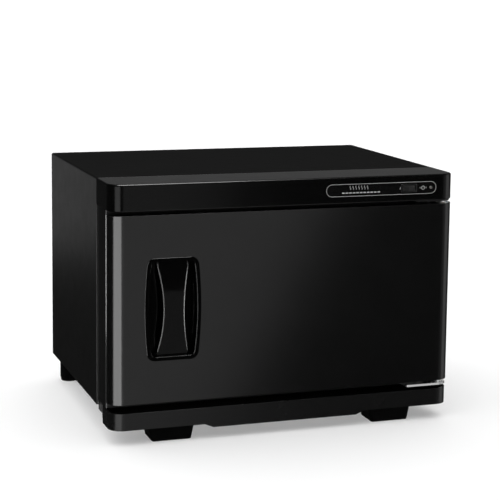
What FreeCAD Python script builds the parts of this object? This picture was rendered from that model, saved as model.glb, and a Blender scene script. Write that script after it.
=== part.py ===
import FreeCAD, Part
import math
import os
import Sketcher
from FreeCAD import Placement, Rotation, Vector

# Hot towel cabinet: a small insulated steel box with a heated aluminium tank, a side-hinged door
# with a recessed handle, a control housing over the door and a drip tray under it.
# Millimetres. Origin: centre of the footprint, on the floor. +X to the hinge side, -Y to the
# front, +Z up.

doc = FreeCAD.newDocument("hot_towel_cabinet")
sheet = doc.addObject("Spreadsheet::Sheet", "Dims")

# ---------------------------------------------------------------- driving dimensions
DIMENSIONS = [
    # overall
    ("half_width", 175.0, "half the width over the casing"),
    ("overall_depth", 274.0, "front of the grip to the back of the cord gland"),
    ("overall_height", 248.0, "floor to the top of the casing"),
    ("grip_proud", 4.0, "how far the grip bows out of the door's face"),
    ("gland_proud", 5.0, "how far the cord gland stands out of the casing's back"),
    ("front_depth", 53.5, "door face to the casing's front edge"),
    ("sheet_gauge", 1.0, "thickness of the steel sheet"),
    ("seam_gap", 0.3, "gap between the front mouldings and the casing"),
    # casing
    ("casing_base", 27.5, "height of the casing's lower edge"),
    ("casing_bend", 2.0, "outside radius of the casing's top bends"),
    ("flange_width", 10.0, "width of the casing's folded flanges"),
    # door
    ("door_base", 39.7, "height of the door's lower edge"),
    ("door_top", 218.5, "height of the door's upper edge"),
    ("door_thick", 17.0, "thickness of the door"),
    ("front_round", 13.5, "radius of the front vertical corners in plan"),
    ("rear_round", 2.5, "radius of the door's rear vertical corners in plan"),
    ("lip_width", 9.0, "width of the door skin's return lips"),
    ("cap_height", 12.0, "height of the door's end caps"),
    ("cap_wall", 2.0, "wall of the end caps"),
    ("seal_gap", 4.0, "gap between the door and the front frame"),
    ("seal_width", 6.0, "width of the gasket"),
    ("liner_gauge", 1.5, "thickness of the door liner"),
    ("liner_rise", 8.0, "how far the liner's panel stands into the chamber"),
    # hinge
    ("pin_inset", 10.0, "hinge pin to the door's side"),
    ("pin_radius", 3.0, "hinge pin"),
    ("pin_play", 0.05, "radial running clearance of the hinge pins"),
    ("pin_reach", 14.0, "how far a pin enters the door"),
    ("plate_gauge", 2.0, "thickness of the lower hinge plate"),
    ("washer_radius", 4.6, "shoulder of the hinge pins"),
    # control housing
    ("head_base", 222.5, "height of the control housing's lower edge"),
    ("head_wall", 2.4, "wall of the control housing"),
    ("label_left", 37.8, "left end of the control label"),
    ("label_right", 154.1, "right end of the control label"),
    ("label_height", 12.4, "height of the control label"),
    ("label_gauge", 0.5, "thickness of the control label"),
    ("switch_place", 124.9, "middle of the rocker switch"),
    ("rocker_tilt", 10.0, "tilt of the rocker either side of its middle"),
    ("lamp_place", 148.1, "middle of the indicator lamp"),
    ("lamp_radius", 1.5, "indicator lamp"),
    # drip tray
    ("tray_top", 31.3, "height of the drip tray's rim"),
    ("tray_base", 15.0, "height of the drip tray's underside"),
    ("tray_lip", 11.5, "height of the centre lip's lower edge"),
    ("tray_half", 174.0, "half the width of the drip tray at its front"),
    ("tray_rear_half", 170.5, "half the width of the drip tray between its guides"),
    ("guide_reach", 14.0, "how far the guides overlap the tray's back end"),
    ("guide_play", 0.5, "side clearance of the drip tray in its guides"),
    ("tray_depth", 49.0, "depth of the drip tray"),
    ("tray_wall", 2.0, "wall of the drip tray"),
    ("lip_half", 73.5, "half the width of the centre lip at its lower edge"),
    ("lip_slope", 8.5, "run of the lip's sloped ends"),
    # front frame
    ("frame_base", 32.3, "height of the front frame's lower edge"),
    ("frame_wall", 2.4, "wall of the front frame"),
    ("frame_inset", 1.0, "front frame inside the casing's sides"),
    # inner tank
    ("tank_half", 143.0, "half the inside width of the tank"),
    ("tank_floor", 56.0, "height of the tank's floor"),
    ("tank_ceiling", 202.0, "height of the tank's ceiling"),
    ("tank_back", 92.0, "inside face of the tank's back wall"),
    ("tank_gauge", 1.0, "thickness of the tank's sheet"),
    ("blanket", 14.0, "thickness of the insulation"),
    ("shelf_level", 119.0, "height of the shelf frame's centre line"),
    ("shelf_wire", 2.0, "radius of the shelf's frame wire"),
    ("cross_wire", 1.25, "radius of the shelf's cross wires"),
    ("wire_pitch", 18.0, "spacing of the cross wires"),
    # handle
    ("handle_place", -114.2, "middle of the handle across the door"),
    ("handle_half_height", 49.0, "half the height of the handle's rim"),
    ("handle_half_middle", 27.6, "half the width of the rim at its middle"),
    ("handle_half_end", 24.5, "half the width of the rim at its ends"),
    ("handle_round", 8.0, "corner radius of the handle's rim"),
    ("handle_rim", 2.0, "width of the rim outside the door's cut-out"),
    ("rim_proud", 0.8, "how far the rim stands out of the door's face"),
    ("cup_wall", 1.8, "wall of the handle cup"),
    ("cup_depth", 13.5, "depth of the cup behind the door's face"),
    ("grip_half_end", 15.0, "half the width of the grip at its ends"),
    ("grip_half_waist", 10.0, "half the width of the grip at its waist"),
    ("grip_end_proud", -2.0, "grip ends behind the door's face"),
    ("grip_thick", 8.0, "thickness of the grip at its middle"),
    # feet
    ("front_foot_place", 112.8, "middle of a front foot"),
    ("front_foot_width", 44.5, "width of a front foot at its top"),
    ("front_foot_slant", 2.8, "how far each side of a front foot leans in towards the floor"),
    ("front_foot_round", 3.0, "radius of a front foot's upright corners"),
    ("front_foot_seat", 6.5, "height of the screw's seat inside a front foot"),
    ("front_foot_setback", 6.5, "front feet behind the door's face"),
    ("front_foot_depth", 28.0, "depth of a front foot"),
    ("rear_foot_place", 159.0, "middle of a rear foot"),
    ("rear_foot_radius", 10.0, "rear foot"),
    ("rear_foot_setback", 12.5, "rear feet in front of the casing's back"),
    ("bracket_gauge", 1.5, "thickness of the foot brackets"),
    # fasteners and fittings
    ("screw_radius", 1.5, "small screws"),
    ("screw_head", 3.2, "head radius of the small screws"),
    ("bolt_radius", 2.0, "larger screws"),
    ("bolt_head", 3.8, "head radius of the larger screws"),
    ("hole_play", 0.15, "clearance round a screw in its hole"),
    ("gland_place", -120.0, "middle of the cord gland across the back"),
    ("gland_level", 60.0, "height of the cord gland"),
    ("gland_bore", 3.6, "bore radius of the cord gland"),
    ("lead_radius", 1.4, "internal leads"),
    ("lead_bend", 14.0, "bend radius of the internal leads"),
]


class Size:
    """A number together with the spreadsheet formula that gives it."""

    def __init__(self, formula, value):
        self.formula = formula
        self.value = value

    def __add__(self, other):
        other = as_size(other)
        return Size(f"({self.formula} + {other.formula})", self.value + other.value)

    def __sub__(self, other):
        other = as_size(other)
        return Size(f"({self.formula} - {other.formula})", self.value - other.value)

    def __mul__(self, other):
        other = as_size(other)
        return Size(f"({self.formula} * {other.formula})", self.value * other.value)

    def __truediv__(self, other):
        other = as_size(other)
        return Size(f"({self.formula} / {other.formula})", self.value / other.value)

    def __neg__(self):
        return Size(f"(0 - {self.formula})", -self.value)

    __radd__ = __add__
    __rmul__ = __mul__

    def __rsub__(self, other):
        return as_size(other) - self


def as_size(number):
    if isinstance(number, Size):
        return number
    return Size(f"({float(number)})", float(number))


class Sizes:
    """The named cells of the sheet, as attributes."""


def fill_sheet():
    sizes = Sizes()
    for row, (alias, value, note) in enumerate(DIMENSIONS, start=1):
        sheet.set(f"A{row}", alias)
        sheet.set(f"B{row}", str(value))
        sheet.set(f"C{row}", note)
        sheet.setAlias(f"B{row}", alias)
        setattr(sizes, alias, Size(f"Dims.{alias}", value))
    doc.recompute()
    return sizes


d = fill_sheet()
sub_parts = []


def keep(feature, label):
    """Register a finished sub-part under the label that names its file."""
    feature.Label = label
    sub_parts.append(feature)
    return feature


def bind(target, path, size):
    target.setExpression(path, as_size(size).formula)


# ---------------------------------------------------------------- sketch outlines
def pin_point(sketch, geometry, end, x, y):
    """Hold one end of a curve at (x, y) from the sketch's origin."""
    for kind, size in (("DistanceX", as_size(x)), ("DistanceY", as_size(y))):
        constraint = Sketcher.Constraint(kind, -1, 1, geometry, end, size.value)
        index = sketch.addConstraint(constraint)
        name = f"pin_{index}"
        sketch.renameConstraint(index, name)
        bind(sketch, f"Constraints.{name}", size)


def set_radius(sketch, geometry, radius):
    index = sketch.addConstraint(Sketcher.Constraint("Radius", geometry, as_size(radius).value))
    name = f"radius_{index}"
    sketch.renameConstraint(index, name)
    bind(sketch, f"Constraints.{name}", radius)


def polygon(*corners):
    def draw(sketch):
        points = [Vector(as_size(x).value, as_size(y).value, 0) for x, y in corners]
        count = len(points)
        first = sketch.GeometryCount
        for number, start in enumerate(points):
            sketch.addGeometry(Part.LineSegment(start, points[(number + 1) % count]), False)
        for number, (x, y) in enumerate(corners):
            following = first + (number + 1) % count
            sketch.addConstraint(Sketcher.Constraint("Coincident", first + number, 2, following, 1))
            pin_point(sketch, first + number, 1, x, y)
    return draw


def rectangle(x_low, x_high, y_low, y_high):
    return polygon((x_low, y_low), (x_high, y_low), (x_high, y_high), (x_low, y_high))


def circle(x, y, radius):
    def draw(sketch):
        centre = Vector(as_size(x).value, as_size(y).value, 0)
        round_edge = Part.Circle(centre, Vector(0, 0, 1), as_size(radius).value)
        index = sketch.addGeometry(round_edge, False)
        pin_point(sketch, index, 3, x, y)
        set_radius(sketch, index, radius)
    return draw


def barrel(x, y, half_height, half_middle, half_end):
    """Closed outline with straight ends and sides that are arcs, bulging or waisted."""
    def draw(sketch):
        bulge = as_size(half_middle) - half_end
        radius = (as_size(half_height) * half_height + bulge * bulge) / (bulge * 2)
        if bulge.value < 0:
            radius = -radius
        corners = [
            (as_size(x) - half_end, as_size(y) + half_height),
            (as_size(x) - half_end, as_size(y) - half_height),
            (as_size(x) + half_end, as_size(y) - half_height),
            (as_size(x) + half_end, as_size(y) + half_height),
        ]
        points = [Vector(cx.value, cy.value, 0) for cx, cy in corners]
        left = Vector(as_size(x).value - as_size(half_middle).value, as_size(y).value, 0)
        right = Vector(as_size(x).value + as_size(half_middle).value, as_size(y).value, 0)
        first = sketch.GeometryCount
        sketch.addGeometry(Part.Arc(points[0], left, points[1]), False)
        sketch.addGeometry(Part.LineSegment(points[1], points[2]), False)
        sketch.addGeometry(Part.Arc(points[2], right, points[3]), False)
        sketch.addGeometry(Part.LineSegment(points[3], points[0]), False)
        link_arcs_to_lines(sketch, first, points)
        for corner, (cx, cy) in zip((points[1], points[2], points[3], points[0]),
                                    (corners[1], corners[2], corners[3], corners[0])):
            line, end = line_end_at(sketch, first, corner)
            pin_point(sketch, line, end, cx, cy)
        set_radius(sketch, first, radius)
        set_radius(sketch, first + 2, radius)
    return draw


def curve_end_at(sketch, geometry, point):
    """Which end (1 or 2) of a curve lies at a point."""
    for end in (1, 2):
        if sketch.getPoint(geometry, end).distanceToPoint(point) < 1e-6:
            return end
    raise RuntimeError("no end of the curve lies at the point")


def line_end_at(sketch, first, point):
    for line in (first + 1, first + 3):
        for end in (1, 2):
            if sketch.getPoint(line, end).distanceToPoint(point) < 1e-6:
                return line, end
    raise RuntimeError("no line of the outline ends at the point")


def link_arcs_to_lines(sketch, first, points):
    joints = [(first, points[0], first + 3), (first, points[1], first + 1),
              (first + 2, points[2], first + 1), (first + 2, points[3], first + 3)]
    for arc, point, line in joints:
        arc_end = curve_end_at(sketch, arc, point)
        line_end = curve_end_at(sketch, line, point)
        sketch.addConstraint(Sketcher.Constraint("Coincident", arc, arc_end, line, line_end))


def rounded_rectangle(x_low, x_high, y_low, y_high, front_radius, back_radius=0.0, split_at=None):
    """Rectangle with round corners, the front ones at y_low. split_at adds a point in the front side."""
    x_low, x_high, y_low, y_high = (as_size(size) for size in (x_low, x_high, y_low, y_high))
    corners = [
        (x_low, y_low, 1, 1, as_size(front_radius)), (x_high, y_low, -1, 1, as_size(front_radius)),
        (x_high, y_high, -1, -1, as_size(back_radius)), (x_low, y_high, 1, -1, as_size(back_radius)),
    ]
    stations = []
    for number, (x, y, x_inward, y_inward, radius) in enumerate(corners):
        if radius.value == 0:
            stations.append((x, y, None))
        else:
            on_side = (x, y + y_inward * radius)
            on_end = (x + x_inward * radius, y)
            arrive, leave = (on_side, on_end) if number % 2 == 0 else (on_end, on_side)
            stations.append((*arrive, (x, y, x_inward, y_inward, radius)))
            stations.append((*leave, None))
        if number == 0 and split_at is not None:
            stations.append((as_size(split_at), y_low, None))

    def draw(sketch):
        points = [Vector(x.value, y.value, 0) for x, y, corner in stations]
        count = len(points)
        first = sketch.GeometryCount
        for number, (x, y, corner) in enumerate(stations):
            start = points[number]
            end = points[(number + 1) % count]
            if corner is None:
                sketch.addGeometry(Part.LineSegment(start, end), False)
            else:
                corner_x, corner_y, x_inward, y_inward, radius = corner
                short = radius.value * (1 - math.sqrt(0.5))
                middle = Vector(corner_x.value + x_inward * short, corner_y.value + y_inward * short, 0)
                sketch.addGeometry(Part.Arc(start, middle, end), False)
                set_radius(sketch, first + number, radius)
        for number, (x, y, corner) in enumerate(stations):
            this = first + number
            following = first + (number + 1) % count
            meeting = points[(number + 1) % count]
            sketch.addConstraint(Sketcher.Constraint(
                "Coincident", this, curve_end_at(sketch, this, meeting),
                following, curve_end_at(sketch, following, meeting)))
            pin_point(sketch, this, curve_end_at(sketch, this, points[number]), x, y)
    return draw


# ---------------------------------------------------------------- PartDesign helpers
def new_body(label):
    return keep(doc.addObject("PartDesign::Body", label), label)


def new_sketch(body, plane_role, level):
    """Sketch parallel to one of the body's origin planes, at a level along that plane's axis."""
    plane = next(item for item in body.Origin.OriginFeatures if item.Role == plane_role)
    sketch = body.newObject("Sketcher::SketchObject", "Outline")
    sketch.AttachmentSupport = [(plane, "")]
    sketch.MapMode = "FlatFace"
    normal_is_reversed = plane_role == "XZ_Plane"
    bind(sketch, "AttachmentOffset.Base.z", -as_size(level) if normal_is_reversed else level)
    return sketch


def pad(body, plane_role, outlines, low, high):
    """Add material between two levels along the plane's axis."""
    sketch = new_sketch(body, plane_role, high if plane_role == "XZ_Plane" else low)
    for draw in outlines:
        draw(sketch)
    feature = body.newObject("PartDesign::Pad", "Pad")
    feature.Profile = sketch
    bind(feature, "Length", as_size(high) - low)
    doc.recompute()
    return feature


def pocket(body, plane_role, outlines, low, high):
    """Take material away between two levels along the plane's axis."""
    before = body.Shape.Volume
    sketch = new_sketch(body, plane_role, low if plane_role == "XZ_Plane" else high)
    for draw in outlines:
        draw(sketch)
    feature = body.newObject("PartDesign::Pocket", "Pocket")
    feature.Profile = sketch
    bind(feature, "Length", as_size(high) - low)
    doc.recompute()
    if body.Shape.Volume >= before - 1e-3:
        raise RuntimeError(f"a pocket in {body.Label} took nothing away")
    return feature


def upright_at(*spots):
    """Pick the vertical edges that pass through the given (x, y) spots."""
    def pick(edge):
        box = edge.BoundBox
        if box.ZLength < 1e-3 or box.XLength > 1e-3 or box.YLength > 1e-3:
            return False
        return any(abs(box.XMin - as_size(x).value) < 0.02 and abs(box.YMin - as_size(y).value) < 0.02
                   for x, y in spots)
    return pick


def crossing_at(*spots):
    """Pick the edges along Y that pass through the given (x, z) spots."""
    def pick(edge):
        box = edge.BoundBox
        if box.YLength < 1e-3 or box.XLength > 1e-3 or box.ZLength > 1e-3:
            return False
        return any(abs(box.XMin - as_size(x).value) < 0.02 and abs(box.ZMin - as_size(z).value) < 0.02
                   for x, z in spots)
    return pick


def in_plane(axis, level, also=lambda edge: True):
    """Pick the edges that lie in the plane across an axis at a level."""
    def pick(edge):
        box = edge.BoundBox
        low = getattr(box, axis + "Min")
        high = getattr(box, axis + "Max")
        return abs(low - as_size(level).value) < 0.02 and abs(high - low) < 0.02 and also(edge)
    return pick


def fillet(body, radius, pick):
    base = body.Tip
    names = [f"Edge{number}" for number, edge in enumerate(base.Shape.Edges, start=1) if pick(edge)]
    if not names:
        raise RuntimeError(f"a fillet in {body.Label} found no edges")
    feature = body.newObject("PartDesign::Fillet", "Fillet")
    feature.Base = (base, names)
    bind(feature, "Radius", radius)
    doc.recompute()
    return feature


# ---------------------------------------------------------------- Part helpers
AXIS_TURNS = {
    "x": Rotation(Vector(0, 1, 0), 90),
    "y": Rotation(Vector(1, 0, 0), -90),
    "z": Rotation(),
}


def block(x_low, x_high, y_low, y_high, z_low, z_high):
    box = doc.addObject("Part::Box", "Block")
    spans = (("Length", "x", x_low, x_high), ("Width", "y", y_low, y_high), ("Height", "z", z_low, z_high))
    for size_name, axis, low, high in spans:
        bind(box, size_name, as_size(high) - low)
        bind(box, f"Placement.Base.{axis}", low)
    return box


def place_along(feature, axis, across, low):
    """Stand a round primitive along an axis; across gives its centre on the other two axes."""
    feature.Placement = Placement(Vector(), AXIS_TURNS[axis])
    others = [name for name in "xyz" if name != axis]
    bind(feature, f"Placement.Base.{axis}", low)
    for name, size in zip(others, across):
        bind(feature, f"Placement.Base.{name}", size)


def rod(axis, across, radius, low, high):
    cylinder = doc.addObject("Part::Cylinder", "Rod")
    place_along(cylinder, axis, across, low)
    bind(cylinder, "Radius", radius)
    bind(cylinder, "Height", as_size(high) - low)
    return cylinder


def taper(axis, across, radius_low, radius_high, low, high):
    cone = doc.addObject("Part::Cone", "Taper")
    place_along(cone, axis, across, low)
    bind(cone, "Radius1", radius_low)
    bind(cone, "Radius2", radius_high)
    bind(cone, "Height", as_size(high) - low)
    return cone


def fuse(*shapes):
    joined = doc.addObject("Part::MultiFuse", "Joined")
    joined.Shapes = list(shapes)
    return joined


def cut(base, tool):
    result = doc.addObject("Part::Cut", "Result")
    result.Base = base
    result.Tool = tool
    return result


def screw(axis, across, seat, head_side, shank, head_radius, length):
    """Pan-head screw with a cross recess. seat is the level under its head; head_side is +1 or -1."""
    head_height = head_radius * 0.62
    recess_depth = head_height * 0.6
    recess_half = head_radius * 0.55
    slot_half = head_radius * 0.13
    outer = seat + head_height * head_side
    floor = outer - recess_depth * head_side
    above = outer + 1.0 * head_side
    inner = seat - length * head_side
    crown = head_radius * 0.72
    if head_side > 0:
        head = taper(axis, across, head_radius, crown, seat, outer)
        shaft = rod(axis, across, shank, inner, seat)
        recess_low, recess_high = floor, above
    else:
        head = taper(axis, across, crown, head_radius, outer, seat)
        shaft = rod(axis, across, shank, seat, inner)
        recess_low, recess_high = above, floor
    others = [name for name in "xyz" if name != axis]
    slots = []
    for long_axis in others:
        spans = {axis: (recess_low, recess_high)}
        for name, centre in zip(others, across):
            half = recess_half if name == long_axis else slot_half
            spans[name] = (as_size(centre) - half, as_size(centre) + half)
        slots.append(block(*spans["x"], *spans["y"], *spans["z"]))
    return cut(fuse(head, shaft), fuse(*slots))


def screw_set(label, screws):
    return keep(fuse(*screws), label)


# ---------------------------------------------------------------- levels worked out once
front_y = d.grip_proud - d.overall_depth / 2
seam_y = front_y + d.front_depth
back_y = d.overall_depth / 2 - d.gland_proud
door_back_y = front_y + d.door_thick
frame_front_y = door_back_y + d.seal_gap
front_parts_back_y = seam_y - d.seam_gap
pin_x = d.half_width - d.pin_inset
pin_y = front_y + d.door_thick / 2
frame_half = d.half_width - d.frame_inset
frame_top = d.head_base - 0.3
label_level = (d.head_base + d.overall_height) / 2
handle_level = (d.door_base + d.door_top) / 2
panel_back_y = back_y - d.sheet_gauge - 0.1
panel_front_y = panel_back_y - d.sheet_gauge
base_under = d.casing_base + d.sheet_gauge + 0.1
base_over = base_under + d.sheet_gauge
tray_back_y = front_y + d.tray_depth
tank_front_y = frame_front_y + 11.2
flange_back_y = tank_front_y + d.tank_gauge
bracket_top = d.tray_base - 0.3
foot_top = bracket_top - d.bracket_gauge - 0.1
rear_foot_y = back_y - d.rear_foot_setback

rear_screw_spots = [(side * (d.half_width - 5.3), level)
                    for side in (-1, 1) for level in (60.0, 138.0, 216.0)]
rear_screw_spots += [(x, d.overall_height - 5.3) for x in (-85.0, 85.0)]
bracket_bolt_y = (-66.0, -52.0)


def mirrored_name(stem, side):
    return f"{stem}_{'left' if side < 0 else 'right'}"


# ---------------------------------------------------------------- casing
def make_outer_casing():
    body = new_body("outer_casing")
    wide = d.half_width
    inside = wide - d.sheet_gauge
    lip = wide - d.flange_width
    base = d.casing_base
    base_inside = base + d.sheet_gauge
    top = d.overall_height
    top_inside = top - d.sheet_gauge
    wrap = polygon((-wide, base), (-lip, base), (-lip, base_inside), (-inside, base_inside),
                   (-inside, top_inside), (inside, top_inside), (inside, base_inside),
                   (lip, base_inside), (lip, base), (wide, base), (wide, top), (-wide, top))
    pad(body, "XZ_Plane", [wrap], seam_y, back_y)
    fillet(body, d.casing_bend, crossing_at((-wide, top), (wide, top)))
    fillet(body, d.casing_bend - d.sheet_gauge, crossing_at((-inside, top_inside), (inside, top_inside)))
    flange = polygon((-inside, base_inside), (-lip, base_inside), (-lip, top - d.flange_width),
                     (lip, top - d.flange_width), (lip, base_inside), (inside, base_inside),
                     (inside, top_inside), (-inside, top_inside))
    pad(body, "XZ_Plane", [flange], back_y - d.sheet_gauge, back_y)
    holes = [circle(x, z, d.screw_radius + d.hole_play) for x, z in rear_screw_spots]
    pocket(body, "XZ_Plane", holes, back_y - d.sheet_gauge * 2, back_y + 1.0)


def make_rear_panel():
    body = new_body("rear_panel")
    half = d.half_width - d.sheet_gauge - 0.2
    low = d.casing_base + d.sheet_gauge + 0.2
    high = d.overall_height - d.sheet_gauge - 0.2
    pad(body, "XZ_Plane", [rectangle(-half, half, low, high)], panel_front_y, panel_back_y)
    fillet(body, 1.2, crossing_at((-half, high), (half, high)))
    slots = []
    for middle in (-95.0, 95.0):
        for number in range(7):
            level = 150.0 + 8.0 * number
            slots.append(rectangle(middle - 32.0, middle + 32.0, level, level + 3.0))
    holes = [circle(x, z, d.screw_radius + d.hole_play) for x, z in rear_screw_spots]
    gland_hole = circle(d.gland_place, d.gland_level, d.gland_bore + 4.1)
    pocket(body, "XZ_Plane", slots + holes + [gland_hole], panel_front_y - 1.0, panel_back_y + 1.0)


def make_base_plate():
    body = new_body("base_plate")
    half = d.half_width - d.sheet_gauge - 0.3
    pad(body, "XY_Plane", [rectangle(-half, half, seam_y + 0.5, panel_front_y - 0.3)],
        base_under, base_over)
    holes = [circle(side * d.rear_foot_place, rear_foot_y, d.bolt_radius + d.hole_play) for side in (-1, 1)]
    for side in (-1, 1):
        for y in bracket_bolt_y:
            holes.append(circle(side * d.front_foot_place, y, d.bolt_radius + d.hole_play))
    slots = [rectangle(-40.0, 40.0, 20.0 + 9.0 * number, 23.0 + 9.0 * number) for number in range(6)]
    pocket(body, "XY_Plane", holes + slots, base_under - 1.0, base_over + 1.0)


# ---------------------------------------------------------------- front mouldings
def make_front_frame():
    body = new_body("front_frame")
    wall = d.frame_wall
    hollow_y = frame_front_y + wall
    outer = rectangle(-frame_half, frame_half, d.frame_base, frame_top)
    pad(body, "XZ_Plane", [outer], frame_front_y, front_parts_back_y)
    hollow = rectangle(-(frame_half - wall), frame_half - wall, d.frame_base + wall, frame_top - wall)
    pocket(body, "XZ_Plane", [hollow], hollow_y, front_parts_back_y + 1.0)
    skirt = rectangle(-(d.tank_half + wall), d.tank_half + wall, d.tank_floor - wall, d.tank_ceiling + wall)
    pad(body, "XZ_Plane", [skirt], hollow_y - 1.0, tank_front_y - 0.2)
    opening = rectangle(-d.tank_half, d.tank_half, d.tank_floor, d.tank_ceiling)
    pocket(body, "XZ_Plane", [opening], frame_front_y - 1.0, tank_front_y + 1.0)
    upright_corners = [(side * frame_half, frame_front_y) for side in (-1, 1)]
    fillet(body, 1.5, upright_at(*upright_corners))
    opening_corners = crossing_at(*[(side * d.tank_half, level) for side in (-1, 1)
                                    for level in (d.tank_floor, d.tank_ceiling)])
    fillet(body, 4.0, opening_corners)
    holes = [circle(x, hinge_screw_level, d.screw_radius + 0.02) for x in lower_hinge_screws]
    pocket(body, "XZ_Plane", holes, frame_front_y - 1.0, hollow_y + 1.0)


def make_control_housing():
    body = new_body("control_housing")
    wide = d.half_width
    wall = d.head_wall
    inner_y = front_y + wall
    corner_r = d.front_round
    pad(body, "XY_Plane", [rectangle(-wide, wide, front_y, front_parts_back_y)],
        d.head_base, d.overall_height)
    fillet(body, corner_r, upright_at((-wide, front_y), (wide, front_y)))

    def not_at_seam(edge):
        return edge.BoundBox.YMax < front_parts_back_y.value - 0.1 or edge.BoundBox.YLength > 1.0

    fillet(body, 1.8, in_plane("Z", d.overall_height, not_at_seam))
    fillet(body, 0.8, in_plane("Z", d.head_base, not_at_seam))
    inside = rounded_rectangle(-(wide - wall), wide - wall, inner_y, front_parts_back_y + 1.0,
                               corner_r - wall)
    pocket(body, "XY_Plane", [inside], d.head_base + wall, d.overall_height - wall)
    switch_hole = rectangle(d.switch_place - 7.9, d.switch_place + 7.9, label_level - 3.6, label_level + 3.6)
    lamp_hole = circle(d.lamp_place, label_level, d.lamp_radius + 0.1)
    pocket(body, "XZ_Plane", [switch_hole, lamp_hole], front_y - 1.0, inner_y + 1.0)
    screw_holes = [circle(x, pin_y, d.screw_radius + 0.02) for x in upper_hinge_screws]
    pin_hole = circle(pin_x, pin_y, d.pin_radius + 0.2)
    pocket(body, "XY_Plane", screw_holes + [pin_hole], d.head_base - 1.0, d.head_base + wall + 1.0)


def make_control_label():
    body = new_body("control_label")
    half_height = d.label_height / 2
    low = label_level - half_height
    high = label_level + half_height
    pad(body, "XZ_Plane", [rectangle(d.label_left, d.label_right, low, high)],
        front_y - d.label_gauge, front_y)
    ends = crossing_at((d.label_left, low), (d.label_left, high), (d.label_right, low), (d.label_right, high))
    fillet(body, half_height - 0.02, ends)
    around_switch = rectangle(d.switch_place - 8.4, d.switch_place + 8.4,
                              label_level - 4.1, label_level + 4.1)
    around_lamp = circle(d.lamp_place, label_level, d.lamp_radius + 0.2)
    pocket(body, "XZ_Plane", [around_switch, around_lamp], front_y - 2.0, front_y + 1.0)


bezel_y = front_y - 1.0
rocker_pivot_y = bezel_y + 4.0


def make_switch():
    body = new_body("switch_housing")
    bezel = rectangle(d.switch_place - 8.3, d.switch_place + 8.3, label_level - 4.0, label_level + 4.0)
    pad(body, "XZ_Plane", [bezel], bezel_y, front_y)
    barrel_part = rectangle(d.switch_place - 7.8, d.switch_place + 7.8, label_level - 3.5, label_level + 3.5)
    pad(body, "XZ_Plane", [barrel_part], front_y - 0.5, front_y + 14.0)
    well = rectangle(d.switch_place - 7.0, d.switch_place + 7.0, label_level - 2.8, label_level + 2.8)
    pocket(body, "XZ_Plane", [well], bezel_y - 1.0, bezel_y + 11.0)
    fillet(body, 0.4, in_plane("Y", bezel_y))

    blades = []
    for x in (-4.0, 4.0):
        blades.append(block(d.switch_place + x - 0.4, d.switch_place + x + 0.4,
                            front_y + 14.0, front_y + 20.0, label_level - 2.0, label_level + 2.0))
    keep(fuse(*blades), "switch_terminals")

    rocker = new_body("switch_rocker")
    # Drawn about its own pivot: x along the switch, y into it. Two flanks meet in a shallow valley.
    profile = polygon((-5.9, -5.6), (0.0, -4.4), (5.9, -5.6), (5.9, -3.0),
                      (2.5, 1.5), (-2.5, 1.5), (-5.9, -3.0))
    pad(rocker, "XY_Plane", [profile], -2.5, 2.5)
    fillet(rocker, 0.5, upright_at((-5.9, -5.6), (5.9, -5.6)))
    rocker.Placement = Placement(Vector(), Rotation(Vector(0, 0, 1), -d.rocker_tilt.value))
    bind(rocker, "Placement.Base.x", d.switch_place)
    bind(rocker, "Placement.Base.y", rocker_pivot_y)
    bind(rocker, "Placement.Base.z", label_level)
    bind(rocker, "Placement.Rotation.Angle", d.rocker_tilt)
    rocker.Placement.Rotation.Axis = Vector(0, 0, -1)


def make_indicator_lamp():
    tip_y = front_y - 0.9
    body = rod("y", (d.lamp_place, label_level), d.lamp_radius, tip_y, front_y + 8.0)
    collar = rod("y", (d.lamp_place, label_level), d.lamp_radius + 0.5, front_y + d.head_wall, front_y + 4.0)
    dome = doc.addObject("Part::Sphere", "Dome")
    bind(dome, "Radius", d.lamp_radius)
    bind(dome, "Placement.Base.x", d.lamp_place)
    bind(dome, "Placement.Base.y", tip_y)
    bind(dome, "Placement.Base.z", label_level)
    keep(fuse(body, collar, dome), "indicator_lamp")


# ---------------------------------------------------------------- chamber
def make_inner_tank():
    body = new_body("inner_tank")
    gauge = d.tank_gauge
    half = d.tank_half
    low = d.tank_floor
    high = d.tank_ceiling
    shell = rectangle(-(half + gauge), half + gauge, low - gauge, high + gauge)
    pad(body, "XZ_Plane", [shell], tank_front_y, d.tank_back + gauge)
    flange = rectangle(-(half + d.flange_width), half + d.flange_width,
                       low - d.flange_width, high + d.flange_width)
    pad(body, "XZ_Plane", [flange], tank_front_y, flange_back_y)
    pocket(body, "XZ_Plane", [rectangle(-half, half, low, high)], tank_front_y - 1.0, d.tank_back)
    corners = [(side * half, level) for side in (-1, 1) for level in (low, high)]
    fillet(body, 4.0, crossing_at(*corners))
    outer_corners = [(side * (half + gauge), level) for side in (-1, 1)
                     for level in (low - gauge, high + gauge)]
    fillet(body, 4.0 + gauge, crossing_at(*outer_corners))


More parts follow.
